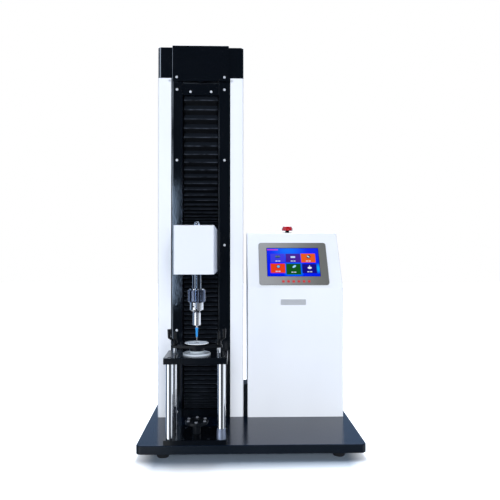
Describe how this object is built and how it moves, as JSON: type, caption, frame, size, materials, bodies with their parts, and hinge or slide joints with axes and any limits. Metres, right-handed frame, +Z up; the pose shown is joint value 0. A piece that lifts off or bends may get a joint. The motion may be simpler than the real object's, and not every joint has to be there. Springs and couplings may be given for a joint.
{
  "type": "universal testing machine",
  "caption": "Single-column bench universal testing machine: motor-driven crosshead with chuck and needle over a puncture fixture, bellows-guarded column and slanted touch-screen control box.",
  "frame": {"origin": "centre of the base plate's outline at the level of the feet's lower faces", "axes": "+Z up along the column, front of the machine towards -Y, +X to the operator's right"},
  "size_m": [0.56, 0.44, 1.0887],
  "materials": {
    "white_paint": "smooth white powder coat",
    "black_paint": "satin black paint",
    "black_gloss": "glossy black lacquer",
    "rubber": "moulded black rubber",
    "steel": "machined steel",
    "dark_steel": "blackened and knurled steel",
    "chrome": "hard chrome, polished",
    "aluminium": "satin aluminium",
    "ring_metal": "light anodised aluminium",
    "bellows_cloth": "black coated pleated cloth",
    "black_plastic": "moulded black plastic",
    "red_plastic": "glossy red plastic",
    "blue_plastic": "translucent blue plastic",
    "bezel_grey": "satin warm grey",
    "screen": "lit display behind a clear pane",
    "board_green": "green circuit board"
  },
  "bodies": {
    "root": {"base_plate": "black_gloss", "base_screws": "steel", "rubber_feet": "rubber", "column_frame": "aluminium", "side_covers": "white_paint", "front_strips": "black_gloss", "front_screws": "steel", "column_back_cover": "white_paint", "rear_screws": "steel", "top_cap": "black_gloss", "top_cap_front": "black_gloss", "bellows_brackets": "black_paint", "upper_bellows": "bellows_cloth", "lower_bellows": "bellows_cloth", "guide_rails": "steel", "screw_bearings": "steel", "motor_plate": "steel", "drive_motor": "black_paint", "drive_belt": "rubber", "limit_switches": "black_plastic", "control_box_shell": "white_paint", "control_box_back": "white_paint", "screen_bezel": "bezel_grey", "screen_glass": "screen", "badge_plate": "aluminium", "estop_collar": "black_plastic", "power_inlet": "black_plastic", "controller_board": "board_green", "power_supply": "aluminium", "cable_gap_cover": "black_paint", "fixture_bottom_plate": "black_gloss", "fixture_posts": "chrome", "post_collar": "aluminium", "fixture_top_plate": "black_gloss", "fixture_screws": "steel", "lower_clamp_ring": "ring_metal", "clamp_standoffs": "chrome", "lower_adapter": "dark_steel"},
    "crosshead": {"carriage_plate": "steel", "rail_carriages": "steel", "ball_nut": "steel", "crosshead_arm": "aluminium", "head_cover": "white_paint", "load_cell": "steel", "load_rod": "chrome", "head_cap_nut": "chrome", "chuck_body": "dark_steel", "needle_holder": "steel", "needle_hub": "blue_plastic", "needle": "steel"},
    "ball_screw": {"ball_screw": "steel"},
    "motor_pulley": {"motor_pulley": "steel"},
    "chuck_sleeve": {"chuck_sleeve": "dark_steel"},
    "clamp_bar": {"clamp_bar": "black_paint", "upper_clamp_ring": "ring_metal"},
    "left_lever": {"left_clamp_lever": "black_plastic"},
    "right_lever": {"right_clamp_lever": "black_plastic"},
    "estop_stem": {"estop_stem": "black_plastic"},
    "estop_head": {"estop_head": "red_plastic"},
    "power_rocker": {"power_rocker": "black_plastic"}
  },
  "joints": [
    {"name": "crosshead_travel", "type": "slide", "parent": "root", "child": "crosshead", "axis": [0, 0, 1], "range_m": [-0.035, 0.33], "deforming": ["upper_bellows", "lower_bellows"]},
    {"name": "screw_turn", "type": "hinge", "parent": "root", "child": "ball_screw", "pos_m": [-0.138, 0.098, 0.5], "axis": [0, 0, 1], "continuous": true},
    {"name": "motor_turn", "type": "hinge", "parent": "root", "child": "motor_pulley", "pos_m": [-0.138, 0.158, 0.06], "axis": [0, 0, 1], "continuous": true},
    {"name": "chuck_sleeve_turn", "type": "hinge", "parent": "crosshead", "child": "chuck_sleeve", "pos_m": [-0.1365, -0.162, 0.392], "axis": [0, 0, 1], "continuous": true},
    {"name": "clamp_bar_lift", "type": "slide", "parent": "root", "child": "clamp_bar", "axis": [0, 0, 1], "range_m": [0, 0.01]},
    {"name": "left_lever_turn", "type": "hinge", "parent": "clamp_bar", "child": "left_lever", "pos_m": [-0.1915, -0.162, 0.275], "axis": [0, 0, 1], "range_deg": [0, 150]},
    {"name": "right_lever_turn", "type": "hinge", "parent": "clamp_bar", "child": "right_lever", "pos_m": [-0.0815, -0.162, 0.275], "axis": [0, 0, 1], "range_deg": [0, 150]},
    {"name": "estop_press", "type": "slide", "parent": "root", "child": "estop_stem", "axis": [0, 0, -1], "range_m": [0, 0.005], "stiffness_N_per_m": 900, "springref_m": -0.001},
    {"name": "estop_twist", "type": "hinge", "parent": "estop_stem", "child": "estop_head", "pos_m": [0.121, 0.158, 0.575], "axis": [0, 0, -1], "range_deg": [0, 45], "stiffness_Nm_per_rad": 0.05},
    {"name": "power_rocker_tilt", "type": "hinge", "parent": "root", "child": "power_rocker", "pos_m": [0.227, 0.19737, 0.103], "axis": [-1, 0, 0], "range_deg": [0, 18]}
  ],
  "couplings": [
    {"joint": "screw_turn", "follows": "crosshead_travel", "rad_per_m": -628.32},
    {"joint": "motor_turn", "follows": "crosshead_travel", "rad_per_m": -1256.6}
  ]
}
